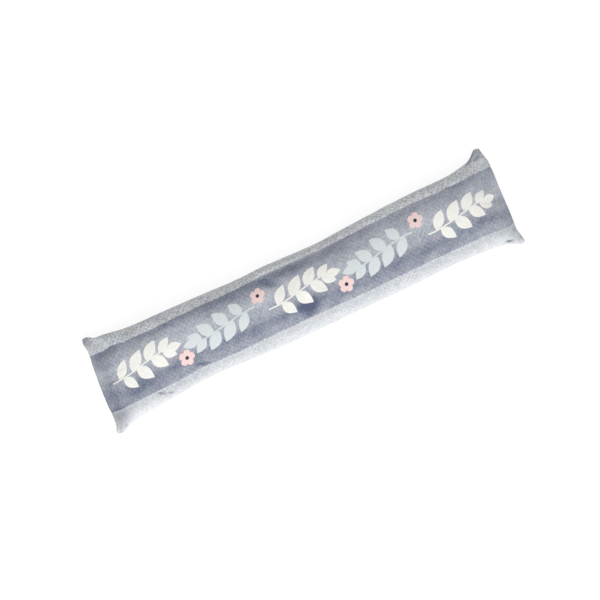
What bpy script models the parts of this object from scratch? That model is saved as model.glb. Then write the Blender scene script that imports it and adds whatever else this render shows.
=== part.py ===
"""A draught excluder: a long filled cushion that lies along the foot of a door.

Two equal cloth panels are sewn together all round and filled. The cushion lies on its back,
with its length along X, its printed face up and its flat underside on z = 0. Lengths in the
tables are in millimetres, and everything else is in metres.
"""

import math
from typing import NamedTuple

import bmesh
import bpy
from mathutils import Vector, noise

MM = 0.001

# Driving dimensions of the filled cushion.
CROWN = 47 * MM  # the face's rise above the side seams, along the middle
SIDE_SEAM_HEIGHT = 40 * MM  # of the long side seams above the floor
END_SEAM_HEIGHT = 21 * MM  # of the two end seams above the floor
SEAM_THICKNESS = 3 * MM  # two turned-in layers of cloth at the seam
END_MARGIN = 5 * MM  # flat strip beside an end seam, which the filling doesn't reach
END_REACH = 46 * MM  # how fast the face rises behind an end seam
SEAM_REACH = 40 * MM  # how fast the side seams rise behind an end seam
HEEL = 58 * MM  # length of the underside's rise towards an end seam
FLAT_SHARE = 0.5  # the part of the underside's half width that lies on the floor
FLAT_STEPS = 0.45  # the part of the underside's rows that lies on the floor
CROWN_POWER = 0.9  # under 1 for a fuller section than an ellipse

# Rows and columns of the two panels. The hidden back panel needs half as many.
FACE_COLUMNS = 136
FACE_ROWS = 30
BACK_COLUMNS = FACE_COLUMNS // 2
BACK_ROWS = FACE_ROWS // 2
CROWDING = 0.3  # columns stand closer together towards the ends

# Small unevenness of the cloth and the filling.
LUMP_DEPTH = 2.2 * MM
LUMP_SIZE = Vector((0.115, 0.07, 0.07))
GATHER_DEPTH = 2.4 * MM
GATHER_PITCH = 27 * MM
GATHER_REACH = 32 * MM
PUCKER_DEPTH = 1.5 * MM
PUCKER_PITCH = 34 * MM
PUCKER_EDGE = 0.55  # puckers start this far from the middle line towards a side seam

COVER_COLOUR = (0.24, 0.26, 0.36, 1.0)
COVER_ROUGHNESS = 0.9


class Station(NamedTuple):
    """A point of the sewn outline, seen from above, in millimetres."""

    along: float
    across: float


class Ear(NamedTuple):
    """A pinched corner, and how far it stands above or hangs below the end seam, in millimetres."""

    along: float
    across: float
    size: float
    lift: float


class Roll(NamedTuple):
    """How much lower the far side seam sits, and higher the near one, at a place along."""

    along: float
    slide: float


class Fold(NamedTuple):
    """A trough in the face, or a ridge where its depth is negative. Millimetres and degrees."""

    along: float
    across: float
    turn: float
    length: float
    width: float
    depth: float


FAR_EDGE = (
    Station(-437, 98.5),
    Station(-429, 100),
    Station(-420, 96),
    Station(-412, 90),
    Station(-404, 90),
    Station(-388, 88.5),
    Station(-356, 83),
    Station(-324, 80.5),
    Station(-260, 79),
    Station(-164, 76),
    Station(-116, 73.5),
    Station(-40, 74.5),
    Station(28, 72),
    Station(76, 71),
    Station(124, 74),
    Station(220, 78),
    Station(284, 80),
    Station(364, 80),
    Station(396, 84.5),
    Station(412, 88),
    Station(422, 93.5),
    Station(430, 101),
    Station(439, 106.5),
    Station(448, 103),
)
NEAR_EDGE = (
    Station(-453, -103),
    Station(-444, -105),
    Station(-434, -103),
    Station(-420, -97),
    Station(-404, -93),
    Station(-372, -88.5),
    Station(-324, -85.5),
    Station(-244, -79.5),
    Station(-180, -80),
    Station(-116, -83.5),
    Station(-52, -86),
    Station(124, -86.5),
    Station(204, -87),
    Station(300, -85),
    Station(348, -87),
    Station(380, -89),
    Station(404, -92.5),
    Station(420, -96.5),
    Station(436, -104),
    Station(446, -106.5),
    Station(452, -102.5),
)
LEFT_END = (
    Station(-453, -103),
    Station(-452, -95.5),
    Station(-448.5, -87.5),
    Station(-446, -75.5),
    Station(-446, -45),
    Station(-443.5, -4),
    Station(-438, 52),
    Station(-435.5, 68),
    Station(-437.5, 80.5),
    Station(-440, 90.5),
    Station(-437, 98.5),
)
RIGHT_END = (
    Station(452, -102.5),
    Station(450.5, -93.5),
    Station(447.5, -85.5),
    Station(446, -75.5),
    Station(448, -45),
    Station(450, 12),
    Station(452.5, 52),
    Station(453, 70),
    Station(451.5, 84.5),
    Station(448.5, 94.5),
    Station(448, 103),
)
EARS = (
    Ear(-437, 98.5, 40, -5),
    Ear(448, 103, 44, -4),
    Ear(-453, -103, 48, -9),
    Ear(452, -102.5, 46, -5),
)
ROLLS = (
    Roll(-453, 0),
    Roll(-360, 0.5),
    Roll(-260, -1.2),
    Roll(-164, 1.8),
    Roll(-110, 5.5),
    Roll(-30, 7.4),
    Roll(50, 8.8),
    Roll(124, 6.6),
    Roll(220, 3.4),
    Roll(290, 1.0),
    Roll(360, 1.8),
    Roll(453, 0),
)
FOLDS = (
    Fold(6, -30, 76, 82, 15, 6.5),
    Fold(-18, 16, 28, 80, 10, 2.6),
    Fold(34, 6, -38, 60, 12, 2.0),
    Fold(-46, 35, 128, 52, 8, 4.0),
    Fold(-232, -57, 2, 62, 9, 3.0),
    Fold(-338, -72, 62, 40, 8, 2.6),
    Fold(-318, -75, 70, 36, 7, 2.2),
    Fold(-420, 84, -62, 40, 6, 4.0),
    Fold(-398, 70, -34, 84, 10, 3.0),
    Fold(-412, -74, 48, 76, 9, 3.2),
    Fold(-418, 12, 6, 60, 12, 2.0),
    Fold(424, 84, -14, 76, 7, 6.5),
    Fold(386, 70, 24, 90, 11, 2.6),
    Fold(414, 44, 20, 64, 10, 2.2),
    Fold(410, -86, -22, 66, 8, 3.6),
    Fold(418, -34, -14, 58, 11, 2.0),
    Fold(150, 44, -8, 96, 14, 1.8),
    Fold(238, -50, 6, 84, 12, 1.8),
)


def clear_scene():
    for thing in list(bpy.data.objects):
        bpy.data.objects.remove(thing, do_unlink=True)


def smooth_between(places, values, place):
    """The value at a place on a smooth curve through the table's rows."""
    last = len(places) - 1
    row = max(i for i in range(last) if places[i] <= place or i == 0)

    def slope(i):
        low, high = max(i - 1, 0), min(i + 1, last)
        return (values[high] - values[low]) / (places[high] - places[low])

    gap = places[row + 1] - places[row]
    step = (place - places[row]) / gap
    rest = 1 - step
    return (
        values[row] * rest * rest * (1 + 2 * step)
        + slope(row) * gap * step * rest * rest
        + values[row + 1] * step * step * (1 + 2 * rest)
        - slope(row + 1) * gap * step * step * rest
    )


def point_on_side(edge, share):
    """A point of a long edge, by its share of the way along the cushion."""
    start, end = edge[0].along, edge[-1].along
    along = start + share * (end - start)
    across = smooth_between([s.along for s in edge], [s.across for s in edge], along)
    return Vector((along, across)) * MM


def point_on_end(edge, share):
    """A point of an end seam, by its share of the way across the cushion."""
    start, end = edge[0].across, edge[-1].across
    across = start + share * (end - start)
    along = smooth_between([s.across for s in edge], [s.along for s in edge], across)
    return Vector((along, across)) * MM


def plan_point(along_share, across_share):
    """A point inside the sewn outline, blended from the four edges."""
    u, v = along_share, across_share
    corners = (
        point_on_side(NEAR_EDGE, 0) * (1 - u) * (1 - v)
        + point_on_side(NEAR_EDGE, 1) * u * (1 - v)
        + point_on_side(FAR_EDGE, 0) * (1 - u) * v
        + point_on_side(FAR_EDGE, 1) * u * v
    )
    sides = point_on_side(NEAR_EDGE, u) * (1 - v) + point_on_side(FAR_EDGE, u) * v
    ends = point_on_end(LEFT_END, v) * (1 - u) + point_on_end(RIGHT_END, v) * u
    return sides + ends - corners


def distance_to_end(along_share):
    length = (RIGHT_END[0].along - LEFT_END[0].along) * MM
    return min(along_share, 1 - along_share) * length


def fullness(from_end):
    """0 at an end seam, and 1 where the filling stands at its full height."""
    return 1 - math.exp(-max(from_end - END_MARGIN, 0) / END_REACH)


def seam_height(along_share, row):
    """The height of the side seams, and of the slanting line between them at a row."""
    from_end = distance_to_end(along_share)
    rise = 1 - math.exp(-from_end / SEAM_REACH)
    middle = END_SEAM_HEIGHT + (SIDE_SEAM_HEIGHT - END_SEAM_HEIGHT) * rise
    along = ROLLS[0].along + along_share * (ROLLS[-1].along - ROLLS[0].along)
    slide = smooth_between([r.along for r in ROLLS], [r.slide for r in ROLLS], along) * MM
    return middle - slide * row * fullness(from_end)


def ear_lift(place):
    """How far the pinched corners bend up or down at a place on the plan."""
    lift = 0.0
    for ear in EARS:
        reach = (place - Vector((ear.along, ear.across)) * MM).length / (ear.size * MM)
        lift += ear.lift * MM * max(0, 1 - reach * reach) ** 2
    return lift


def face_point(along_share, row):
    """The face panel, where row runs from -1 at the near seam to 1 at the far seam."""
    from_end = distance_to_end(along_share)
    full = fullness(from_end)
    turn = row * math.pi / 2
    across_share = 0.5 + 0.5 * (row * (1 - full) + math.sin(turn) * full)
    place = plan_point(along_share, across_share)
    crown = CROWN * full * max(math.cos(turn), 0) ** CROWN_POWER
    height = seam_height(along_share, row) + SEAM_THICKNESS / 2 + crown
    return Vector((place.x, place.y, height + ear_lift(place)))


def back_point(along_share, row):
    """The back panel: flat on the floor, then up its two sides to the seams."""
    from_end = distance_to_end(along_share)
    full = fullness(from_end)
    beyond = max(abs(row) - FLAT_STEPS, 0) / (1 - FLAT_STEPS)
    turn = beyond * math.pi / 2
    if beyond > 0:
        share = FLAT_SHARE + (1 - FLAT_SHARE) * math.sin(turn)
    else:
        share = FLAT_SHARE * abs(row) / FLAT_STEPS
    share = math.copysign(share, row)
    place = plan_point(along_share, 0.5 + 0.5 * (row * (1 - full) + share * full))
    low = (END_SEAM_HEIGHT - SEAM_THICKNESS / 2) * max(0, 1 - from_end / HEEL) ** 2
    seam = seam_height(along_share, math.copysign(1, row)) - SEAM_THICKNESS / 2
    height = low + (seam - low) * (1 - math.cos(turn))
    return Vector((place.x, place.y, height + ear_lift(place)))


def fold_depth(fold, place):
    """How deep one fold is at a place on the plan."""
    away = (place - Vector((fold.along, fold.across))) / fold.length
    turn = math.radians(fold.turn)
    along = 2 * (away.x * math.cos(turn) + away.y * math.sin(turn))
    across = (away.y * math.cos(turn) - away.x * math.sin(turn)) * fold.length / fold.width
    return fold.depth * max(0, 1 - along * along) ** 1.5 * math.exp(-across * across)


def face_relief(point, along_share, row):
    """How far the cloth stands off the smooth face, along its normal."""
    from_end = distance_to_end(along_share)
    inside = 1 - row**4
    place = Vector((point.x, point.y)) / MM
    relief = -sum(fold_depth(fold, place) for fold in FOLDS) * MM
    lump = Vector(point[i] / LUMP_SIZE[i] for i in range(3))
    relief += LUMP_DEPTH * noise.noise(lump) * fullness(from_end)
    wander = 1.6 * noise.noise(Vector((point.y / GATHER_PITCH * 0.6, along_share * 9, 0)))
    gather = math.sin(2 * math.pi * point.y / GATHER_PITCH + wander * math.pi)
    reach = from_end / GATHER_REACH
    relief += GATHER_DEPTH * gather * reach * math.exp(1 - reach - reach * reach / 4) * inside
    edge = max(0, abs(row) - PUCKER_EDGE) / (1 - PUCKER_EDGE)
    wander = 2.2 * noise.noise(Vector((point.x / PUCKER_PITCH * 0.5, row, 3)))
    pucker = math.sin(2 * math.pi * point.x / PUCKER_PITCH + wander * math.pi)
    relief += PUCKER_DEPTH * pucker * 4 * edge * (1 - edge) * fullness(from_end)
    return relief * (1 - abs(row) ** 12)


def crowded(share):
    """Moves an even share of the way along so that columns crowd towards the ends."""
    return share - CROWDING * math.sin(2 * math.pi * share) / (2 * math.pi)


def add_panel(mesh, columns, rows, point_at):
    """Adds one flat panel as a grid and moves it onto a surface. Returns its shares of the way."""
    made = bmesh.ops.create_grid(mesh, x_segments=columns, y_segments=rows, size=1)
    shares = {}
    for vertex in made["verts"]:
        along_share = crowded((vertex.co.x + 1) / 2)
        row = vertex.co.y
        shares[vertex] = (along_share, row)
        vertex.co = point_at(along_share, row)
    return shares


def rim_of(mesh, panel):
    return [edge for edge in mesh.edges if edge.is_boundary and edge.verts[0] in panel]


def make_cushion_mesh():
    """Both panels, joined by the seam that runs all round."""
    mesh = bmesh.new()
    face = add_panel(mesh, FACE_COLUMNS, FACE_ROWS, face_point)
    bmesh.ops.recalc_face_normals(mesh, faces=mesh.faces)
    if sum(f.normal.z for f in mesh.faces) < 0:
        bmesh.ops.reverse_faces(mesh, faces=mesh.faces)
    mesh.normal_update()
    normals = {vertex: vertex.normal.copy() for vertex in face}
    for vertex, (along_share, row) in face.items():
        vertex.co += normals[vertex] * face_relief(vertex.co, along_share, row)
    back = add_panel(mesh, BACK_COLUMNS, BACK_ROWS, back_point)
    bmesh.ops.bridge_loops(mesh, edges=rim_of(mesh, face) + rim_of(mesh, back))
    bmesh.ops.triangulate(mesh, faces=mesh.faces)
    bmesh.ops.recalc_face_normals(mesh, faces=mesh.faces)
    centre_on_origin(mesh)
    data = bpy.data.meshes.new("cushion")
    mesh.to_mesh(data)
    mesh.free()
    return data


def centre_on_origin(mesh):
    """Puts the middle of the outer size, seen from above, on the origin."""
    for axis in (0, 1):
        values = [vertex.co[axis] for vertex in mesh.verts]
        middle = (min(values) + max(values)) / 2
        for vertex in mesh.verts:
            vertex.co[axis] -= middle


def cover_material():
    material = bpy.data.materials.new("heather_cloth")
    material.use_nodes = True
    shader = material.node_tree.nodes["Principled BSDF"]
    shader.inputs["Base Color"].default_value = COVER_COLOUR
    shader.inputs["Roughness"].default_value = COVER_ROUGHNESS
    shader.inputs["Metallic"].default_value = 0.0
    return material


def main():
    clear_scene()
    collection = bpy.data.collections.new("draught_excluder")
    bpy.context.scene.collection.children.link(collection)
    data = make_cushion_mesh()
    data.materials.append(cover_material())
    data.shade_smooth()
    collection.objects.link(bpy.data.objects.new("cushion", data))


main()
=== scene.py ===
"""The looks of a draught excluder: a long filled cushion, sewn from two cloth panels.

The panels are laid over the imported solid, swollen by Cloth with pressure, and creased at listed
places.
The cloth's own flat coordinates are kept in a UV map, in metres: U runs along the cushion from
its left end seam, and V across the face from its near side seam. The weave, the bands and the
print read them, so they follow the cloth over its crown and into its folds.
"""

import math
from typing import NamedTuple

import bmesh
import bpy
import numpy as np
from bpy.props import FloatProperty, FloatVectorProperty, IntProperty, PointerProperty
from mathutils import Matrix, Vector, noise
from mathutils.bvhtree import BVHTree


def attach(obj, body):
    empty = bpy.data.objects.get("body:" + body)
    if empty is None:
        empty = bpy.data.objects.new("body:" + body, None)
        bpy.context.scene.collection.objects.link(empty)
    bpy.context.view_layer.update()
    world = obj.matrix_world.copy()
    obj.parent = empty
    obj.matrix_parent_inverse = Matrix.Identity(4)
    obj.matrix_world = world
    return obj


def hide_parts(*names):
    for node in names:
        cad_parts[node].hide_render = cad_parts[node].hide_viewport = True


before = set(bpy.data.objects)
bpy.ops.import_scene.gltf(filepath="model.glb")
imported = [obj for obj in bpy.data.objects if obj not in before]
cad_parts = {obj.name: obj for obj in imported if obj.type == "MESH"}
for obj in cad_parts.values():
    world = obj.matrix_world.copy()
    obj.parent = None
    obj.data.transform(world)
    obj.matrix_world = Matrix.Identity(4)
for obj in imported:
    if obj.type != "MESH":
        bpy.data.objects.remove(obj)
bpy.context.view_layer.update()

bl_info = {
    "name": "Draught excluder",
    "version": (1, 0, 0),
    "blender": (4, 5, 0),
    "location": "3D View > Sidebar > Draught excluder",
    "description": "Sews, fills and prints a draught excluder, and sets up its studio",
    "category": "Add Mesh",
}

MM = 0.001
SOLID = "cushion"
CLOTH_MAP = "flat_cloth"
ON_SEAM = 0.1 * MM  # a point this near a seam belongs to it
WELD = 0.2 * MM  # rim points nearer than this are sewn together
BUMP_REACH = 5  # bumps of the seam narrower than this many points are taken out
SEAM_PASSES = 6  # how often the seam's height is evened
CLOTH_PASSES = 3  # how often the laid cloth is evened
SEAM_SHARPNESS = 0.9  # how sharp the seam stays when the cloth is subdivided
TINY = 1e-9  # keeps a division clear of zero

# Millimetres on the cloth

EAR_REACH = 34.0  # how far an ear's fold reaches each way along the cushion
EAR_SOFTNESS = 2.0  # how gently the fold starts
PUCKER_PITCH = 9  # size of a pucker along the cushion
PUCKER_RUN = 26  # and across it
PUCKER_REACH = 7  # distance from the side seam at which the puckers are deepest
PRINT_SHIFT = 1.9  # the middle of the print lies this far above the middle of the panel


class Side(NamedTuple):
    """One of the two panels: how it is looked at, and where it lies on the flat cloth's map."""

    view_from: float  # the height from which rays find the panel
    map_shift: float


FACE = Side(view_from=1.0, map_shift=0.0)
BACK = Side(view_from=-1.0, map_shift=0.3)


class Crease(NamedTuple):
    """A soft trough in the face, or a ridge where its depth is negative.

    Its middle is given on the flat cloth, in millimetres from the middle of the print.
    """

    along: float
    across: float
    turn: float
    length: float
    width: float
    depth: float


class EarFold(NamedTuple):
    """A line on the plan, in millimetres, outside which a pinched corner hangs down."""

    along: float
    across: float
    turn: float
    drop: float  # fall for each millimetre outside the line


class Drift(NamedTuple):
    """How far the print's far and near edges stand out at a place along it, in millimetres."""

    along: float
    far: float
    near: float


class Leaf(NamedTuple):
    """A leaf of the printed sprig: its foot, its direction, its length and its half width."""

    along: float
    across: float
    turn: float
    length: float
    half: float


class ToneStop(NamedTuple):
    """How light the middle band is made at a height across the face, in millimetres."""

    across: float
    lightness: float


class Patch(NamedTuple):
    """A soft patch painted darker, or lighter where its amount is negative; the dark ones at
    creases, folded corners, ends and the middle dimple are painted shade.
    """

    along: float
    across: float
    turn: float
    half_length: float
    half_width: float
    amount: float


CREASES = (
    Crease(4, -38, 78, 54, 9, 2.6),
    Crease(22, -16, 112, 40, 6, 1.4),
    Crease(-54, 36, -34, 34, 3.6, 2.4),
    Crease(-238, -56, -23, 42, 3.2, 2.6),
    Crease(-339, -72, -30, 28, 3.4, 3.4),
    Crease(-320, -81, -40, 26, 3.2, 3.0),
    Crease(-435, -98, -38, 20, 2.2, 1.6),
    Crease(441, 87, -21, 44, 2.6, 2.8),
    Crease(-446, 88, 30, 34, 2.4, 2.2),
    Crease(427, -96, 7, 26, 2.2, 3.4),
    Crease(457, -92, 76, 22, 2.4, 1.8),
)
EAR_FOLDS = (
    EarFold(435, 85, -11, 0.40),
    EarFold(-430, 90, 9, 0.40),
    EarFold(-440, -98, -17, 0.35),
    EarFold(446, -97, 30, 0.35),
)
PRINT_DRIFTS = (
    Drift(-452, -0.5, -3.0),
    Drift(-434, 2.0, -0.2),
    Drift(-404, 5.0, 2.2),
    Drift(-375, -1.7, 1.0),
    Drift(-355, -1.6, 0.0),
    Drift(-320, -4.5, -0.8),
    Drift(-270, -2.9, -0.6),
    Drift(-210, -1.9, 0.4),
    Drift(-150, 1.1, -1.1),
    Drift(-90, 2.6, -2.8),
    Drift(0, 4.0, -2.6),
    Drift(60, 5.6, -2.4),
    Drift(120, 2.6, -1.8),
    Drift(180, 0.6, -1.7),
    Drift(240, 0.7, -2.5),
    Drift(320, 0.6, -2.4),
    Drift(375, 2.4, -0.5),
    Drift(410, 5.0, 2.9),
    Drift(426, 2.2, 3.3),
    Drift(440, -3.2, 2.1),
    Drift(452, -4.5, 0.5),
)
SPRIG = (
    Leaf(-56, -8, 54, 42, 11.0),
    Leaf(-47, -8, -50, 38, 10.5),
    Leaf(-25, -4, 50, 46, 12.5),
    Leaf(-14, -1, -48, 43, 12.0),
    Leaf(9, 5, 46, 42, 12.0),
    Leaf(20, 6, -44, 42, 11.5),
    Leaf(39, 8, 36, 34, 9.5),
    Leaf(46, 7, -34, 33, 9.5),
    Leaf(54, 6, -2, 34, 9.0),
)
TONE_STOPS = (
    ToneStop(-60, 0.38),
    ToneStop(-50, 0.33),
    ToneStop(-43, 0.27),
    ToneStop(-35, 0.22),
    ToneStop(-29, 0.24),
    ToneStop(-20, 0.36),
    ToneStop(-8, 0.48),
    ToneStop(4, 0.57),
    ToneStop(15, 0.63),
    ToneStop(26, 0.54),
    ToneStop(36, 0.42),
    ToneStop(45, 0.31),
    ToneStop(52, 0.22),
    ToneStop(60, 0.20),
)
PATCHES = (
    # Painted shade in the middle dimple and along the crease left of it
    Patch(2, -32, 0, 30, 44, 0.42),
    Patch(-54, 38, -34, 36, 14, 0.20),
    # Darker towards the lower left of the face
    Patch(-390, -48, 0, 110, 34, 0.14),
    # Painted shade over the left end
    Patch(-436, 10, 0, 34, 90, 0.17),
    # Lighter and darker places over the face and bands
    Patch(448, -30, 0, 30, 40, -0.08),
    Patch(0, 68, 0, 150, 11, -0.42),
    Patch(0, 49, 0, 140, 14, 0.05),
    Patch(230, 58, 0, 290, 32, -0.21),
    Patch(-310, 47, 0, 180, 24, -0.09),
    Patch(-420, 50, 0, 80, 20, -0.12),
    Patch(425, 42, 0, 76, 28, -0.13),
    Patch(-300, -74, 0, 110, 20, 0.15),
    Patch(-360, 73, 0, 44, 12, 0.22),
    Patch(432, 76, 0, 32, 13, -0.32),
    Patch(388, 46, 0, 46, 20, -0.12),
    Patch(402, -47, 0, 62, 24, -0.15),
    Patch(-430, -42, 0, 46, 26, -0.17),
    # Painted shade at both ends of the near band, under the folds of its corners and in the slit
    # beside the right one
    Patch(-446, -78, 0, 50, 34, 0.72),
    Patch(-435, -98, -38, 10, 4, 0.60),
    Patch(-452, -101, 60, 14, 6, 0.60),
    Patch(452, -80, 0, 28, 34, 0.30),
    Patch(461, -95, 80, 16, 7, 0.75),
    Patch(456, -74, 0, 9, 9, 0.40),
    Patch(427, -96, 7, 17, 4.6, 1.50),
    # Painted shade on the two folded far corners, under the fold of the right one, and along the
    # creases on and beside the near band
    Patch(-454, 94, 0, 24, 19, 0.60),
    Patch(454, 95, 0, 28, 17, 0.50),
    Patch(427, 98, 10, 23, 7, 1.90),
    Patch(442, 87, -21, 26, 5, 0.60),
    Patch(-339, -72, -30, 18, 6, 0.62),
    Patch(-320, -81, -40, 15, 5, 0.58),
    Patch(-238, -55, -22, 28, 7, 0.32),
)


class CushionSizes(bpy.types.PropertyGroup):
    """Sizes of the cut cloth and of how it is filled."""

    cut_length: FloatProperty(
        name="Cut length",
        description="Length of each panel between its end seams",
        default=0.925,
        unit="LENGTH",
    )
    cut_width: FloatProperty(
        name="Cut width",
        description="Width of each panel between its side seams",
        default=0.207,
        unit="LENGTH",
    )
    stitch_step: FloatProperty(
        name="Mesh step",
        description="Size of the cloth's squares before they are subdivided",
        default=0.005,
        unit="LENGTH",
    )
    pressure: FloatProperty(
        name="Filling pressure",
        description="How hard the filling presses the cloth outwards",
        default=4.0,
    )
    most_swell: FloatProperty(
        name="Most swell",
        description="How far a point of the cloth may move from the packed solid",
        default=0.006,
        unit="LENGTH",
    )
    frames: IntProperty(
        name="Frames",
        description="How many steps the cloth has to settle",
        default=20,
    )
    pucker: FloatProperty(
        name="Seam pucker",
        description="Depth of the small puckers beside the seams",
        default=0.0009,
        unit="LENGTH",
    )


class ClothColours(bpy.types.PropertyGroup):
    """Colours of the yarns and of the print."""

    slate: FloatVectorProperty(
        name="Slate",
        description="Dark yarn of the middle band",
        subtype="COLOR",
        default=(0.09, 0.105, 0.17),
    )
    mist: FloatVectorProperty(
        name="Mist",
        description="Light yarn of the middle band",
        subtype="COLOR",
        default=(0.60, 0.62, 0.65),
    )
    chalk: FloatVectorProperty(
        name="Chalk",
        description="Light yarn of the side bands",
        subtype="COLOR",
        default=(0.685, 0.70, 0.724),
    )
    ash: FloatVectorProperty(
        name="Ash",
        description="Dark yarn of the side bands",
        subtype="COLOR",
        default=(0.25, 0.27, 0.302),
    )
    cream: FloatVectorProperty(
        name="Cream",
        description="Print of every other sprig",
        subtype="COLOR",
        default=(0.81, 0.80, 0.745),
    )
    ice: FloatVectorProperty(
        name="Ice blue",
        description="Print of the sprigs between",
        subtype="COLOR",
        default=(0.60, 0.64, 0.65),
    )
    blush: FloatVectorProperty(
        name="Blush",
        description="Print of the blossoms",
        subtype="COLOR",
        default=(0.77, 0.58, 0.56),
    )
    ink: FloatVectorProperty(
        name="Ink",
        description="Print of the blossoms' middles",
        subtype="COLOR",
        default=(0.03, 0.03, 0.045),
    )


class StudioSizes(bpy.types.PropertyGroup):
    """The camera and the light."""

    lens: FloatProperty(
        name="Lens",
        description="Focal length of the camera",
        default=100.0,
        min=20.0,
    )
    distance: FloatProperty(
        name="Distance",
        description="Height of the camera above the cushion",
        default=3.335,
        unit="LENGTH",
    )
    turn: FloatProperty(
        name="Turn",
        description="How far the cushion is turned in the picture",
        default=math.radians(25.4),
        unit="ROTATION",
    )
    key: FloatProperty(
        name="Key light",
        description="Power of the large soft light",
        default=56.0,
        unit="POWER",
    )
    sky: FloatProperty(
        name="Room light",
        description="Strength of the even light from all round",
        default=0.70,
    )
    table: FloatProperty(
        name="Light table",
        description="Strength of the glow from inside the white floor",
        default=0.87,
    )


class SolidReader:
    """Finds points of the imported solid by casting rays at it."""

    RAY_STEP = 0.5 * MM
    REACH = 1.0
    CORNER_SLACK = 0.2 * MM
    RIM_SLACK = 0.6 * MM
    UNDERSIDE = -0.1  # a normal that leans down by more than this belongs to the back
    HALF_SEAM = 1.5 * MM

    def __init__(self, name):
        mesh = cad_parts[name].data
        self.points = [vertex.co.copy() for vertex in mesh.vertices]
        self.tree = BVHTree.FromPolygons(self.points, [p.vertices for p in mesh.polygons])
        self.top = max(point.z for point in self.points)

    def corner(self, outward):
        """The pinched corner that lies furthest in a direction."""
        far = max(point.dot(outward) for point in self.points)
        near_it = [p for p in self.points if p.dot(outward) > far - self.CORNER_SLACK]
        return sum(near_it, Vector()) / len(near_it)

    def rim(self, inside, outward):
        """The middle of the seam's upright edge, straight outward from a place on the plan."""
        hits = []
        for height in np.arange(self.RAY_STEP, self.top, self.RAY_STEP):
            start = Vector((inside[0], inside[1], height)) + outward * self.REACH
            hit, normal = self.tree.ray_cast(start, -outward)[:2]
            if hit is not None:
                hits.append((hit, normal))
        far, furthest = max((hit.dot(outward), hit.z) for hit, _ in hits)
        upright = [
            hit.z
            for hit, normal in hits
            if hit.dot(outward) > far - self.RIM_SLACK and normal.z > self.UNDERSIDE
        ]
        height = min(upright) + self.HALF_SEAM if upright else furthest
        seam = Vector((inside[0], inside[1], height))
        return seam + outward * (far - seam.dot(outward))

    def height(self, place, side):
        """The height of one side's cloth over a place on the plan, or None beyond the solid."""
        start = Vector((place[0], place[1], side.view_from))
        hit = self.tree.ray_cast(start, Vector((0, 0, -side.view_from)))[0]
        return None if hit is None else hit.z


def sewn_outline(solid, along_shares, across_shares):
    """The seam all round, as four rows of points: near, far, left and right."""
    near_left, near_right = (solid.corner(Vector((x, -1, 0))) for x in (-1, 1))
    far_left, far_right = (solid.corner(Vector((x, 1, 0))) for x in (-1, 1))

    def edge(start, end, shares, axis, outward):
        rows = [start]
        for share in shares[1:-1]:
            inside = [0.0, 0.0]
            inside[axis] = start[axis] + share * (end[axis] - start[axis])
            rows.append(solid.rim(inside, outward))
        points = np.array([*rows, end])
        points[:, 2] = evened(without_bumps(points[:, 2], BUMP_REACH), SEAM_PASSES)
        return points

    return (
        edge(near_left, near_right, along_shares, 0, Vector((0, -1, 0))),
        edge(far_left, far_right, along_shares, 0, Vector((0, 1, 0))),
        edge(near_left, far_left, across_shares, 1, Vector((-1, 0, 0))),
        edge(near_right, far_right, across_shares, 1, Vector((1, 0, 0))),
    )


def without_bumps(heights, reach):
    """Heights with the bumps that are narrower than the reach, in points, taken out."""
    wide = np.pad(heights, reach, mode="edge")
    return np.median(np.lib.stride_tricks.sliding_window_view(wide, 2 * reach + 1), axis=1)


def evened(rows, passes):
    """Rows of points with the rays' small jumps taken out. The first and last stay."""
    rows = rows.copy()
    for _ in range(passes):
        rows[1:-1] = (rows[:-2] + 2 * rows[1:-1] + rows[2:]) / 4
    return rows


def blended_plan(outline, along_shares, across_shares):
    """Points inside the outline, blended from its four edges."""
    near, far, left, right = outline
    u = along_shares[:, None, None]
    v = across_shares[None, :, None]
    sides = near[:, None] * (1 - v) + far[:, None] * v
    ends = left[None, :] * (1 - u) + right[None, :] * u
    corners = (
        near[0] * (1 - u) * (1 - v)
        + near[-1] * u * (1 - v)
        + far[0] * (1 - u) * v
        + far[-1] * u * v
    )
    return sides + ends - corners


def respaced(path, places, wanted):
    """The points of a path at the wanted places, read between its own."""
    return np.stack([np.interp(wanted, places, path[:, axis]) for axis in range(3)], axis=1)


def even_across(path, count):
    """A path's points again, at even steps along it."""
    steps = np.linalg.norm(np.diff(path, axis=0), axis=1)
    places = np.concatenate([[0], np.cumsum(steps)])
    return respaced(path, places, np.linspace(0, places[-1], count))


def lay_panels(solid, columns, rows):
    """Both panels laid on the solid, as arrays of points with an even spread of cloth."""
    along_shares = np.linspace(0, 1, columns + 1)
    across_shares = 0.5 - 0.5 * np.cos(np.linspace(0, math.pi, 2 * rows + 1))
    outline = sewn_outline(solid, along_shares, across_shares)
    plan = blended_plan(outline, along_shares, across_shares)
    panels = []
    for side in (FACE, BACK):
        laid = plan.copy()
        for i in range(1, columns):
            for j in range(1, 2 * rows):
                height = solid.height(laid[i, j], side)
                if height is not None:
                    laid[i, j, 2] = height
        laid[:, 1:-1] = evened(laid[:, 1:-1], CLOTH_PASSES)
        panels.append(np.array([even_across(column, rows + 1) for column in laid]))
    both = np.concatenate(panels, axis=1)
    steps = np.linalg.norm(np.diff(both, axis=0), axis=2).mean(axis=1)
    places = np.concatenate([[0], np.cumsum(steps)])
    wanted = np.linspace(0, places[-1], columns + 1)
    return [
        np.stack([respaced(panel[:, j], places, wanted) for j in range(rows + 1)], axis=1)
        for panel in panels
    ]


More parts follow.
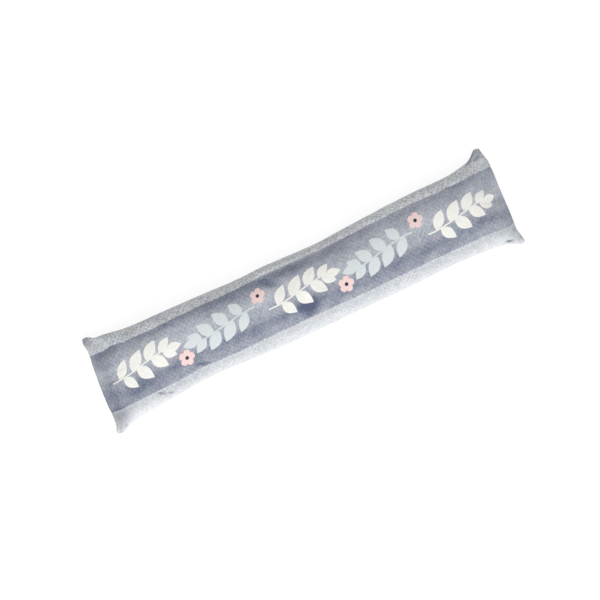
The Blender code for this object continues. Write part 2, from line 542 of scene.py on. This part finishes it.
def sew_panels(panels, sizes):
    """The closed skin: two grids of cloth, welded at their rims, with the flat cloth's map."""
    mesh = bmesh.new()
    cloth_map = mesh.loops.layers.uv.new(CLOTH_MAP)
    flat_place = mesh.verts.layers.float_vector.new(CLOTH_MAP)
    for slot, (side, points) in enumerate(zip((FACE, BACK), panels)):
        columns, rows = points.shape[0] - 1, points.shape[1] - 1
        made = bmesh.ops.create_grid(mesh, x_segments=columns, y_segments=rows, size=1)
        own = set(made["verts"])
        for vertex in own:
            u, v = (vertex.co.x + 1) / 2, (vertex.co.y + 1) / 2
            vertex.co = points[round(u * columns), round(v * rows)]
            vertex[flat_place] = (u * sizes.cut_length, v * sizes.cut_width, side.view_from)
        for face in mesh.faces:
            if face.verts[0] in own:
                face.material_index = slot
                face.smooth = True
                for loop in face.loops:
                    u, v, _ = loop.vert[flat_place]
                    loop[cloth_map].uv = (u, v + side.map_shift)
        if side is BACK:
            bmesh.ops.reverse_faces(mesh, faces=[f for f in mesh.faces if f.verts[0] in own])
    rim = [vertex for vertex in mesh.verts if vertex.is_boundary]
    bmesh.ops.remove_doubles(mesh, verts=rim, dist=WELD)
    sharp = mesh.edges.layers.float.new("crease_edge")
    for edge in mesh.edges:
        if len({face.material_index for face in edge.link_faces}) == 2:
            edge[sharp] = SEAM_SHARPNESS
    pinched = mesh.verts.layers.float.new("crease_vert")
    for vertex in mesh.verts:
        if len(vertex.link_edges) == 2:
            vertex[pinched] = 1.0
    data = bpy.data.meshes.new("cover")
    mesh.to_mesh(data)
    mesh.free()
    return data


def coordinates(mesh):
    values = np.empty(len(mesh.vertices) * 3)
    mesh.vertices.foreach_get("co", values)
    return values.reshape(-1, 3)


def flat_places(mesh):
    """Each point's place on the flat cloth: along, across, and the side that it belongs to."""
    values = np.empty(len(mesh.vertices) * 3)
    mesh.attributes[CLOTH_MAP].data.foreach_get("vector", values)
    return values.reshape(-1, 3)


def distance_from_seam(places, sizes):
    along = sizes.cut_length / 2 - np.abs(places[:, 0] - sizes.cut_length / 2)
    across = sizes.cut_width / 2 - np.abs(places[:, 1] - sizes.cut_width / 2)
    return np.minimum(along, across)


def hold_seam(cover, sizes):
    """A group that keeps the seam's points where they were laid."""
    seam = np.flatnonzero(distance_from_seam(flat_places(cover.data), sizes) < ON_SEAM)
    held = cover.vertex_groups.new(name="held_seam")
    held.add(seam.tolist(), 1.0, "REPLACE")
    return held


def fill_cushion(cover, sizes):
    """Swells the cover with Cloth and pressure, and keeps each point near the solid."""
    start = coordinates(cover.data)
    flat = flat_places(cover.data) * (1, 1, 0)
    cover.shape_key_add(name="filled")
    key = cover.shape_key_add(name="flat")
    key.data.foreach_set("co", flat.ravel())
    cloth = cover.modifiers.new("filling", "CLOTH")
    settings = cloth.settings
    settings.quality = 6
    settings.mass = 0.002
    settings.use_pressure = True
    settings.uniform_pressure_force = sizes.pressure
    settings.effector_weights.gravity = 0
    settings.rest_shape_key = key
    settings.vertex_group_mass = hold_seam(cover, sizes).name
    settings.tension_stiffness = 20
    settings.compression_stiffness = 20
    settings.shear_stiffness = 5
    settings.bending_stiffness = 0.5
    cloth.point_cache.frame_end = sizes.frames
    scene = bpy.context.scene
    for step in range(1, sizes.frames + 1):
        scene.frame_set(step)
    shown = cover.evaluated_get(bpy.context.evaluated_depsgraph_get())
    settled = coordinates(shown.data)
    scene.frame_set(1)
    cover.modifiers.remove(cloth)
    cover.shape_key_clear()
    moved = settled - start
    far = np.linalg.norm(moved, axis=1, keepdims=True)
    moved *= sizes.most_swell * np.tanh(far / sizes.most_swell) / np.maximum(far, TINY)
    settled = start + moved
    settled[:, 2] = np.maximum(settled[:, 2], 0)
    cover.data.vertices.foreach_set("co", settled.ravel())
    cover.data.update()


def tuck_behind_seam(cover, sizes):
    """Moves the cloth that bulges past a side seam, seen from above, back to the seam.

    The back's cloth also stays under the seam.
    """
    points = coordinates(cover.data)
    flat = flat_places(cover.data)
    for across, limit in ((0.0, np.maximum), (sizes.cut_width, np.minimum)):
        seam = points[np.abs(flat[:, 1] - across) < ON_SEAM]
        seam = seam[np.argsort(seam[:, 0])]
        points[:, 1] = limit(points[:, 1], np.interp(points[:, 0], seam[:, 0], seam[:, 1]))
        under = (flat[:, 2] < 0) & (np.abs(flat[:, 1] - across) < sizes.cut_width / 4)
        seam_height = np.interp(points[under, 0], seam[:, 0], seam[:, 2])
        points[under, 2] = np.minimum(points[under, 2], seam_height)
    cover.data.vertices.foreach_set("co", points.ravel())
    cover.data.update()


def subdivide(cover):
    """Halves the cloth's squares, with the result kept in the mesh."""
    finer = cover.modifiers.new("finer", "SUBSURF")
    finer.levels = 1
    finer.render_levels = 1
    shown = cover.evaluated_get(bpy.context.evaluated_depsgraph_get())
    data = bpy.data.meshes.new_from_object(shown)
    cover.modifiers.clear()
    cover.data = data


def crease_depth(crease, along, across):
    """How deep one crease is at places on the flat cloth."""
    turn = math.radians(crease.turn)
    x, y = along - crease.along, across - crease.across
    run = 2 * (x * math.cos(turn) + y * math.sin(turn)) / crease.length
    away = (y * math.cos(turn) - x * math.sin(turn)) / crease.width
    return crease.depth * np.maximum(0, 1 - run * run) ** 1.5 * np.exp(-away * away)


def ear_drop(points):
    """How far the pinched corners hang down outside their fold lines, in millimetres."""
    drop = np.zeros(len(points))
    for fold in EAR_FOLDS:
        turn = math.radians(fold.turn)
        across_line = np.array([-math.sin(turn), math.cos(turn)]) * math.copysign(1, fold.across)
        outside = (points[:, :2] - (fold.along, fold.across)) @ across_line
        near = np.abs(points[:, 0] - fold.along) < EAR_REACH
        beyond = (outside + np.sqrt(outside**2 + EAR_SOFTNESS**2)) / 2
        drop += np.where(near, fold.drop * beyond, 0)
    return drop


def press_details(cover, sizes):
    """Presses the creases and the small puckers beside the seams into the fine mesh."""
    data = cover.data
    places = flat_places(data)
    along = (places[:, 0] - sizes.cut_length / 2) / MM
    across = (places[:, 1] - sizes.cut_width / 2) / MM
    face = np.clip(places[:, 2], 0, 1)
    depth = sum(crease_depth(crease, along, across - PRINT_SHIFT) for crease in CREASES) * face
    from_side = sizes.cut_width / 2 / MM - np.abs(across)
    puckers = np.array([
        noise.noise(Vector((x / PUCKER_PITCH, y / PUCKER_RUN, side)))
        for x, y, side in zip(along, across, places[:, 2])
    ])
    puckers = np.where(face > 0, puckers, np.abs(puckers))
    reach = from_side / PUCKER_REACH
    depth = depth + puckers * sizes.pucker / MM * 2 * reach * np.exp(1 - reach)
    normals = np.empty(len(data.vertices) * 3)
    data.vertices.foreach_get("normal", normals)
    points = coordinates(data) - normals.reshape(-1, 3) * depth[:, None] * MM
    points[:, 2] = np.maximum(points[:, 2] - ear_drop(points / MM) * MM, 0)
    data.vertices.foreach_set("co", points.ravel())
    data.update()


class Chart:
    """A material's node tree, to which plain arithmetic adds nodes."""

    def __init__(self, name, side, sizes):
        self.material = bpy.data.materials.new(name)
        self.material.use_nodes = True
        self.tree = self.material.node_tree
        self.shader = self.tree.nodes["Principled BSDF"]
        flat = self.add("ShaderNodeUVMap", uv_map=CLOTH_MAP).outputs[0]
        self.flat_mm = self.add(
            "ShaderNodeVectorMath", flat, (1 / MM, 1 / MM, 1 / MM), operation="MULTIPLY"
        ).outputs[0]
        parts = self.add("ShaderNodeSeparateXYZ", self.flat_mm).outputs
        half_length, half_width = sizes.cut_length / 2 / MM, sizes.cut_width / 2 / MM
        self.along = Amount(self, parts[0]) - half_length
        from_middle = Amount(self, parts[1]) - side.map_shift / MM - half_width
        self.from_seam = (half_length - abs(self.along)).least(half_width - abs(from_middle))
        self.across = from_middle - PRINT_SHIFT

    def add(self, kind, *sources, **settings):
        node = self.tree.nodes.new(kind)
        for name, value in settings.items():
            setattr(node, name, value)
        for socket, source in zip(node.inputs, sources):
            self.feed(socket, source)
        return node

    def feed(self, socket, source):
        source = getattr(source, "socket", source)
        if isinstance(source, bpy.types.NodeSocket):
            self.tree.links.new(source, socket)
        elif source is not None:
            socket.default_value = source

    def sum(self, operation, *values, clamped=False):
        """The result of one arithmetic node."""
        node = self.add("ShaderNodeMath", *values, operation=operation, use_clamp=clamped)
        return Amount(self, node.outputs[0])

    def turned(self, degrees, stretch=(1, 1), shift=(0, 0)):
        """The flat cloth's coordinates, moved, turned and divided by the stretch."""
        return self.mapped(self.flat_mm, degrees, stretch, shift)

    def mapped(self, place, degrees, stretch, shift):
        """A place's coordinates from a shifted origin, turned and divided by the stretch."""
        node = self.add("ShaderNodeMapping", place, vector_type="TEXTURE")
        node.inputs["Location"].default_value = (*shift, 0)
        node.inputs["Rotation"].default_value = (0, 0, math.radians(degrees))
        node.inputs["Scale"].default_value = (*stretch, 1)
        return node.outputs[0]

    def noise(self, place, detail=2.0, roughness=0.5):
        node = self.add("ShaderNodeTexNoise", place)
        node.inputs["Scale"].default_value = 1.0
        node.inputs["Detail"].default_value = detail
        node.inputs["Roughness"].default_value = roughness
        return Amount(self, node.outputs[0])

    def cells(self, place):
        """Small cells, each with its own value from -0.5 to 0.5."""
        node = self.add("ShaderNodeTexVoronoi", place)
        node.inputs["Scale"].default_value = 1.0
        parts = self.add("ShaderNodeSeparateXYZ", node.outputs["Color"]).outputs
        return Amount(self, parts[0]) - 0.5

    def graded(self, value, stops):
        """A value read from stops, each a place with its amount."""
        start, end = stops[0][0], stops[-1][0]
        least, most = (kind(amount for _, amount in stops) for kind in (min, max))
        node = self.add("ShaderNodeValToRGB", value.ramp(start, end))
        elements = node.color_ramp.elements
        while len(elements) < len(stops):
            elements.new(0.5)
        for element, (place, amount) in zip(elements, stops):
            share = (amount - least) / (most - least)
            element.position = (place - start) / (end - start)
            element.color = (share, share, share, 1)
        return Amount(self, node.outputs[0]) * (most - least) + least

    def mix(self, share, low, high):
        node = self.add("ShaderNodeMix", data_type="RGBA", clamp_factor=True)
        self.feed(node.inputs["Factor"], share)
        for name, colour in (("A", low), ("B", high)):
            socket = next(s for s in node.inputs if s.name == name and s.type == "RGBA")
            self.feed(socket, colour if hasattr(colour, "socket") else (*colour, 1))
        return Amount(self, next(s for s in node.outputs if s.type == "RGBA"))

    def pair(self, along, across):
        return self.add("ShaderNodeCombineXYZ", along, across).outputs[0]


class Amount:
    """A value that varies over the cloth, with the usual arithmetic."""

    def __init__(self, chart, socket):
        self.chart = chart
        self.socket = socket

    def __add__(self, other):
        return self.chart.sum("ADD", self, other)

    def __radd__(self, other):
        return self.chart.sum("ADD", other, self)

    def __sub__(self, other):
        return self.chart.sum("SUBTRACT", self, other)

    def __rsub__(self, other):
        return self.chart.sum("SUBTRACT", other, self)

    def __mul__(self, other):
        return self.chart.sum("MULTIPLY", self, other)

    def __rmul__(self, other):
        return self.chart.sum("MULTIPLY", other, self)

    def __truediv__(self, other):
        return self.chart.sum("DIVIDE", self, other)

    def __abs__(self):
        return self.chart.sum("ABSOLUTE", self)

    def part(self):
        return self.chart.sum("FRACT", self)

    def over(self, other):
        return self.chart.sum("GREATER_THAN", self, other)

    def most(self, other):
        return self.chart.sum("MAXIMUM", self, other)

    def least(self, other):
        return self.chart.sum("MINIMUM", self, other)

    def power(self, other):
        return self.chart.sum("POWER", self, other)

    def ramp(self, low, high):
        """0 at low, 1 at high and straight between."""
        return self.chart.sum("MULTIPLY", self - low, 1 / (high - low), clamped=True)


# Print and weave, in millimetres and degrees

EDGE = 1.2  # softness of a printed edge
THREAD_PITCH = 1.15
TWILL_THREADS = 4  # threads in one repeat of the twill
TWILL_TURN = 0.4  # share of the repeat after which the weft is on top
FALLING = -58  # slant of one half of the flecks
FALLING_FLECK = (5.4, 2.1)  # length and width
RISING = 52  # slant of the other half
RISING_FLECK = (5.0, 2.1)
SLUB = (9, 3.2)  # length and width of a thick place in the yarn
RIB_PITCH = 7.6
RIB_TURN = 43
CLOUD = (46, 20)  # length and width of the cloth's soft clouds of shade
CLOUD_TURN = 8
WAVER = (16, 4)  # length and width of the small waves in the print's edges
STITCH = 6.0
PINCH_REACH = 3.5  # how far from the seam its stitches show
BAND_WIDTH = 41.5
SPRIG_COUNT = 5
SPRIG_PITCH = 176.0
STEM_REACH = 74
STEM_HALF = 1.4
STEM_RISE = 9
STEM_BEND = 42
LEAF_TRIM = 0.06  # share of a leaf's half width that is cut from its edge
VEIN_HALF = 0.06  # share of a leaf's half width that its vein takes each way
BLOSSOM_COUNT = SPRIG_COUNT - 1
BLOSSOM_SIZE = 16.5
BLOSSOM_RISE = 27.0
PETAL_REACH = 0.38  # share of a blossom's size by which its petals stand out
HEART_RADIUS = 3.8

# Shares of one colour over another

CLOUD_DEPTH = 0.45
FLECK_DEPTH = 0.10
FLECK_GAIN = 0.16  # added to the fleck's depth where the heather is light
THREAD_DEPTH = 0.06
PALE_LEVEL = 0.52  # share of chalk in the side bands
BACK_LEVEL = 0.34  # share of mist in the hidden back
YARN_TINT = 0.07
DYE = 0.3
VEIN_SHADE = 0.3
INK_COVER = 0.94
INK_FLECK = 0.06
# Painted shade along the seam: its share and its colour
PAINTED_SEAM_SHADE_SHARE = 0.3
PAINTED_SEAM_SHADE = (0.05, 0.055, 0.08)


def printed(inside):
    """The share of ink, from a distance inside an outline in millimetres."""
    return inside.ramp(-EDGE / 2, EDGE / 2)


def weave(chart):
    """The twill: 1 where a warp thread is on top, and the height of the threads."""
    column = chart.along / THREAD_PITCH
    row = chart.across / THREAD_PITCH
    step = chart.sum("FLOOR", column) + chart.sum("FLOOR", row)
    warp_up = 1 - (step / TWILL_THREADS).part().over(TWILL_TURN)
    round_column = chart.sum("PINGPONG", column, 0.5) * 2
    round_row = chart.sum("PINGPONG", row, 0.5) * 2
    height = warp_up * round_column + (1 - warp_up) * round_row
    return warp_up, height


def diamonds(chart):
    """The weave's faint diamonds, from ribs that slant both ways, about -2 to 2."""
    ribs = []
    for turn in (RIB_TURN, -RIB_TURN):
        place = chart.turned(turn, (RIB_PITCH, RIB_PITCH))
        across_rib = chart.add("ShaderNodeSeparateXYZ", place).outputs[0]
        ribs.append(chart.sum("SINE", Amount(chart, across_rib) * 2 * math.pi))
    return ribs[0] + ribs[1]


def flecks(chart):
    """The heather's flecks of yarn, slanting both ways, about -1 to 1."""
    falling = chart.cells(chart.turned(FALLING, FALLING_FLECK))
    rising = chart.cells(chart.turned(RISING, RISING_FLECK, (31, 7)))
    speck = chart.cells(chart.turned(0, (THREAD_PITCH, THREAD_PITCH)))
    slub = chart.noise(chart.turned(FALLING, SLUB, (3, 50)), detail=1.0) - 0.5
    return falling * 0.95 + rising * 0.85 + speck * 0.4 + slub * 0.4 + diamonds(chart) * 0.17


def slow_shade(chart):
    """The slow change of shade over the cloth, about -0.2 to 0.2."""
    slow = chart.noise(chart.turned(CLOUD_TURN, CLOUD), detail=3.0, roughness=0.55) - 0.5
    return slow * CLOUD_DEPTH


def clouds_and_painted_shade(chart):
    """The slow cloudy change of tone over the face, with its patches, many of which are painted
    shade.
    """
    shade = slow_shade(chart)
    place = chart.pair(chart.along, chart.across)
    for patch in PATCHES:
        own = chart.mapped(
            place, patch.turn, (patch.half_length, patch.half_width), (patch.along, patch.across)
        )
        reach = chart.add("ShaderNodeVectorMath", own, operation="LENGTH").outputs[1]
        near = 1 - Amount(chart, reach).ramp(0, 1)
        shade = shade - near * near * (3 - 2 * near) * patch.amount
    return shade


def sprig_ink(chart, along, across):
    """Distance inside the printed sprig, in millimetres, and inside its veins."""
    place = chart.pair(along, across)
    stem_line = across - STEM_RISE * chart.sum("SINE", along / STEM_BEND)
    stem = (STEM_HALF - abs(stem_line)).least(STEM_REACH - abs(along))
    inside, vein = stem, None
    for leaf in SPRIG:
        own = chart.mapped(place, leaf.turn, (leaf.length, leaf.half), (leaf.along, leaf.across))
        parts = chart.add("ShaderNodeSeparateXYZ", own).outputs
        run, away = Amount(chart, parts[0]).ramp(0, 1), abs(Amount(chart, parts[1]))
        bulge = run * (1 - run) * (5.0 - 1.6 * run) - LEAF_TRIM
        inside = inside.most((bulge - away) * leaf.half)
        line = (VEIN_HALF - away).least(0.9 - run).least(run - 0.02) * leaf.half
        vein = line if vein is None else vein.most(line)
    return inside, vein


def blossom_ink(chart, along, across):
    """Distance inside the printed blossom, in millimetres, and from its middle."""
    radius = chart.sum("SQRT", along * along + across * across)
    angle = chart.sum("ARCTAN2", across, along)
    petal = abs(chart.sum("COSINE", angle * 2.5))
    rim = BLOSSOM_SIZE * (1 - PETAL_REACH + PETAL_REACH * petal.power(0.5))
    return rim - radius, radius


def heather(chart, colours, lightness):
    """Slate and mist yarns in one cloth, mixed by a lightness and broken up by flecks."""
    warp_up, height = weave(chart)
    fleck = flecks(chart)
    depth = lightness * FLECK_GAIN + FLECK_DEPTH
    shade = lightness + fleck * depth + (warp_up - 0.5) * THREAD_DEPTH
    return chart.mix(shade, colours.slate, colours.mist), fleck, height


def face_cloth(colours, sizes):
    """The printed face: a slate middle with sprigs and blossoms, and two pale bands."""
    chart = Chart("printed_heather_twill", FACE, sizes)
    # The cloth's cloudy tone, with the painted shade of creases, folded corners and ends
    cloud_and_painted_shade = clouds_and_painted_shade(chart)
    # Lightest a little above the middle, darker just under the far band and in the lower third
    tone_across = chart.graded(chart.across, TONE_STOPS)
    slate, fleck, height = heather(chart, colours, tone_across + cloud_and_painted_shade)
    # Painted light: the near band turns paler towards its outer edge, where the bounce from the
    # white floor is brightest
    near_edge_painted_light = (0 - chart.across).ramp(70, 104) * 0.46
    bolder_far = chart.across.ramp(-70, 60) * 0.29 + 0.23
    softer_ends = 1 - abs(chart.along).ramp(370, 440) * 0.35
    pale_share = PALE_LEVEL + near_edge_painted_light + cloud_and_painted_shade * 0.7 + fleck * (bolder_far * softer_ends)
    pale = chart.mix(pale_share, colours.ash, colours.chalk)
    waver = chart.noise(chart.turned(0, WAVER), detail=1.0) - 0.5
    straight_edge = sizes.cut_width / 2 / MM - BAND_WIDTH
    far_drifts = [(row.along, row.far) for row in PRINT_DRIFTS]
    near_drifts = [(row.along, row.near) for row in PRINT_DRIFTS]
    past_far = chart.across - chart.graded(chart.along, far_drifts)
    past_near = (0 - chart.across) - chart.graded(chart.along, near_drifts)
    in_band = printed(past_far.most(past_near) + waver - straight_edge)
    ground = chart.mix(in_band, slate, pale)
    ground = print_sprigs(chart, ground, colours, fleck)
    ground = print_blossoms(chart, ground, colours, fleck)
    finish_cloth(chart, ground, height, fleck)
    return chart.material


def print_sprigs(chart, ground, colours, fleck):
    """Five sprigs in a row, cream and ice blue by turns, each the other way up."""
    cell = chart.along / SPRIG_PITCH + 0.5
    count = chart.sum("FLOOR", cell)
    odd = chart.sum("PINGPONG", count, 1)
    sign = 1 - 2 * odd
    along = (cell - count - 0.5) * SPRIG_PITCH * sign
    inside, vein = sprig_ink(chart, along, chart.across * sign)
    in_row = (SPRIG_COUNT / 2 - abs(cell - 0.5)).over(0)
    dye = chart.noise(chart.turned(0, (60, 24), (9, 9)), detail=1.0).ramp(0.3, 0.8)
    cream = chart.mix(dye * DYE, colours.cream, colours.ice)
    tint = chart.mix(odd, cream, colours.ice)
    tint = chart.mix(printed(vein) * VEIN_SHADE, tint, colours.mist)
    cover = printed(inside) * in_row * (INK_COVER + fleck * INK_FLECK)
    return chart.mix(cover, ground, tint)


def print_blossoms(chart, ground, colours, fleck):
    """A blossom between each two sprigs, by turns above and below the middle."""
    border = chart.along / SPRIG_PITCH
    nearest = chart.sum("ROUND", border - 0.5) + 0.5
    by_turns = chart.sum("PINGPONG", nearest - 0.5, 1)
    height = (by_turns - 0.5) * 2 * BLOSSOM_RISE
    petals, radius = blossom_ink(
        chart, (border - nearest) * SPRIG_PITCH, chart.across - height
    )
    in_row = (BLOSSOM_COUNT / 2 - abs(nearest)).over(0)
    cover = printed(petals) * in_row * (INK_COVER + fleck * INK_FLECK)
    ground = chart.mix(cover, ground, colours.blush)
    return chart.mix(printed(HEART_RADIUS - radius) * in_row, ground, colours.ink)


def back_cloth(colours, sizes):
    """The hidden back: the same heather, plain."""
    chart = Chart("plain_heather_twill", BACK, sizes)
    ground, fleck, height = heather(chart, colours, BACK_LEVEL + slow_shade(chart))
    finish_cloth(chart, ground, height, fleck)
    return chart.material


def tinted(chart, ground):
    """The ground with the faint pinks, greens and blues of its dyed yarns."""
    yarn = chart.add("ShaderNodeTexVoronoi", chart.turned(FALLING, (5.0, 3.0), (11, 4)))
    yarn.inputs["Scale"].default_value = 1.0
    node = chart.add("ShaderNodeMix", data_type="RGBA", blend_type="SOFT_LIGHT")
    node.inputs["Factor"].default_value = YARN_TINT
    colours = [socket for socket in node.inputs if socket.type == "RGBA"]
    chart.feed(colours[0], ground)
    chart.feed(colours[1], yarn.outputs["Color"])
    return Amount(chart, next(s for s in node.outputs if s.type == "RGBA"))


def finish_cloth(chart, ground, height, fleck):
    """Matt cloth with a little fuzz, pinched along the seam, with a thin line of painted shade
    beside it.
    """
    shader = chart.shader
    ground = tinted(chart, ground)
    pinch = 1 - chart.from_seam.ramp(0, PINCH_REACH)
    stitch = chart.sum("SINE", (chart.along + chart.across) * (2 * math.pi / STITCH))
    # Painted shade: a thin dark line beside the seam, stronger towards the far side
    seam_painted_shade = (1 - chart.from_seam.ramp(0.2, 1.4)) * chart.across.ramp(-110, 20) * PAINTED_SEAM_SHADE_SHARE
    ground = chart.mix(seam_painted_shade, ground, PAINTED_SEAM_SHADE)
    bump = chart.add("ShaderNodeBump")
    bump.inputs["Strength"].default_value = 0.5
    bump.inputs["Distance"].default_value = 0.3 * MM
    chart.feed(bump.inputs["Height"], height + fleck * 0.8 + pinch * stitch * 3)
    chart.feed(shader.inputs["Base Color"], ground)
    chart.feed(shader.inputs["Normal"], bump.outputs[0])
    chart.feed(shader.inputs["Roughness"], 0.9 + fleck * 0.06)
    shader.inputs["Specular IOR Level"].default_value = 0.25
    shader.inputs["Sheen Weight"].default_value = 0.12
    shader.inputs["Sheen Roughness"].default_value = 0.5


class EXCLUDER_OT_cushion(bpy.types.Operator):
    """Sews the cover, fills it and dresses it in printed cloth"""

    bl_idname = "excluder.cushion"
    bl_label = "Sew and fill the cushion"

    def execute(self, context):
        sizes = context.scene.excluder_sizes
        colours = context.scene.excluder_colours
        columns = round(sizes.cut_length / sizes.stitch_step)
        rows = round(sizes.cut_width / sizes.stitch_step)
        panels = lay_panels(SolidReader(SOLID), columns, rows)
        cover = bpy.data.objects.new("cover", sew_panels(panels, sizes))
        context.scene.collection.objects.link(cover)
        fill_cushion(cover, sizes)
        tuck_behind_seam(cover, sizes)
        subdivide(cover)
        press_details(cover, sizes)
        cover.data.materials.append(face_cloth(colours, sizes))
        cover.data.materials.append(back_cloth(colours, sizes))
        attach(cover, "root")
        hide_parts(SOLID)
        return {"FINISHED"}


FLOOR_REACH = 6.0
FLOOR_GREY = (0.15, 0.15, 0.15, 1)
LAMP_PLACE = Vector((-0.3, -1.5, 2.2))
LAMP_SIZE = 2.4
AIM = Vector((-7.3, -17.5, 25)) * MM  # the place that the camera looks straight down on


class EXCLUDER_OT_studio(bpy.types.Operator):
    """Adds the floor, the soft light and the camera"""

    bl_idname = "excluder.studio"
    bl_label = "Set up the studio"

    def execute(self, context):
        studio = context.scene.excluder_studio
        add_floor(context, studio)
        add_light(context, studio)
        add_camera(context, studio)
        return {"FINISHED"}


def add_floor(context, studio):
    """A light table of white acrylic, as for a picture with a white ground."""
    mesh = bmesh.new()
    bmesh.ops.create_grid(mesh, x_segments=1, y_segments=1, size=FLOOR_REACH)
    data = bpy.data.meshes.new("floor")
    mesh.to_mesh(data)
    mesh.free()
    floor = bpy.data.objects.new("floor", data)
    context.scene.collection.objects.link(floor)
    material = bpy.data.materials.new("white_acrylic")
    material.use_nodes = True
    shader = material.node_tree.nodes["Principled BSDF"]
    shader.inputs["Base Color"].default_value = FLOOR_GREY
    shader.inputs["Roughness"].default_value = 0.9
    shader.inputs["Emission Color"].default_value = (1, 1, 1, 1)
    shader.inputs["Emission Strength"].default_value = studio.table
    data.materials.append(material)


def add_light(context, studio):
    light = bpy.data.lights.new("key", "AREA")
    light.energy = studio.key
    light.shape = "DISK"
    light.size = LAMP_SIZE
    lamp = bpy.data.objects.new("key", light)
    lamp.location = LAMP_PLACE
    lamp.rotation_euler = (-lamp.location).to_track_quat("-Z", "Y").to_euler()
    context.scene.collection.objects.link(lamp)
    world = bpy.data.worlds.new("room")
    world.use_nodes = True
    sky = world.node_tree.nodes["Background"]
    sky.inputs["Color"].default_value = (1, 1, 1, 1)
    sky.inputs["Strength"].default_value = studio.sky
    context.scene.world = world
    context.scene.view_settings.view_transform = "Standard"


def add_camera(context, studio):
    lens = bpy.data.cameras.new("camera")
    lens.lens = studio.lens
    camera = bpy.data.objects.new("camera", lens)
    camera.location = AIM + Vector((0, 0, studio.distance))
    camera.rotation_euler = (0, 0, -studio.turn)
    context.scene.collection.objects.link(camera)
    context.scene.camera = camera


class EXCLUDER_PT_panel(bpy.types.Panel):
    """Lists the steps and their sizes"""

    bl_idname = "EXCLUDER_PT_panel"
    bl_label = "Draught excluder"
    bl_space_type = "VIEW_3D"
    bl_region_type = "UI"
    bl_category = "Draught excluder"

    def draw(self, context):
        scene = context.scene
        for step, group in (
            (EXCLUDER_OT_cushion, scene.excluder_sizes),
            (None, scene.excluder_colours),
            (EXCLUDER_OT_studio, scene.excluder_studio),
        ):
            box = self.layout.box()
            for name in group.bl_rna.properties.keys():
                if name not in ("rna_type", "name"):
                    box.prop(group, name)
            if step is not None:
                box.operator(step.bl_idname)


CLASSES = (
    CushionSizes,
    ClothColours,
    StudioSizes,
    EXCLUDER_OT_cushion,
    EXCLUDER_OT_studio,
    EXCLUDER_PT_panel,
)


def register():
    for made in CLASSES:
        bpy.utils.register_class(made)
    bpy.types.Scene.excluder_sizes = PointerProperty(type=CushionSizes)
    bpy.types.Scene.excluder_colours = PointerProperty(type=ClothColours)
    bpy.types.Scene.excluder_studio = PointerProperty(type=StudioSizes)


def unregister():
    del bpy.types.Scene.excluder_studio
    del bpy.types.Scene.excluder_colours
    del bpy.types.Scene.excluder_sizes
    for made in reversed(CLASSES):
        bpy.utils.unregister_class(made)


def main():
    register()
    bpy.ops.excluder.cushion()
    bpy.ops.excluder.studio()


if __name__ == "__main__":
    main()
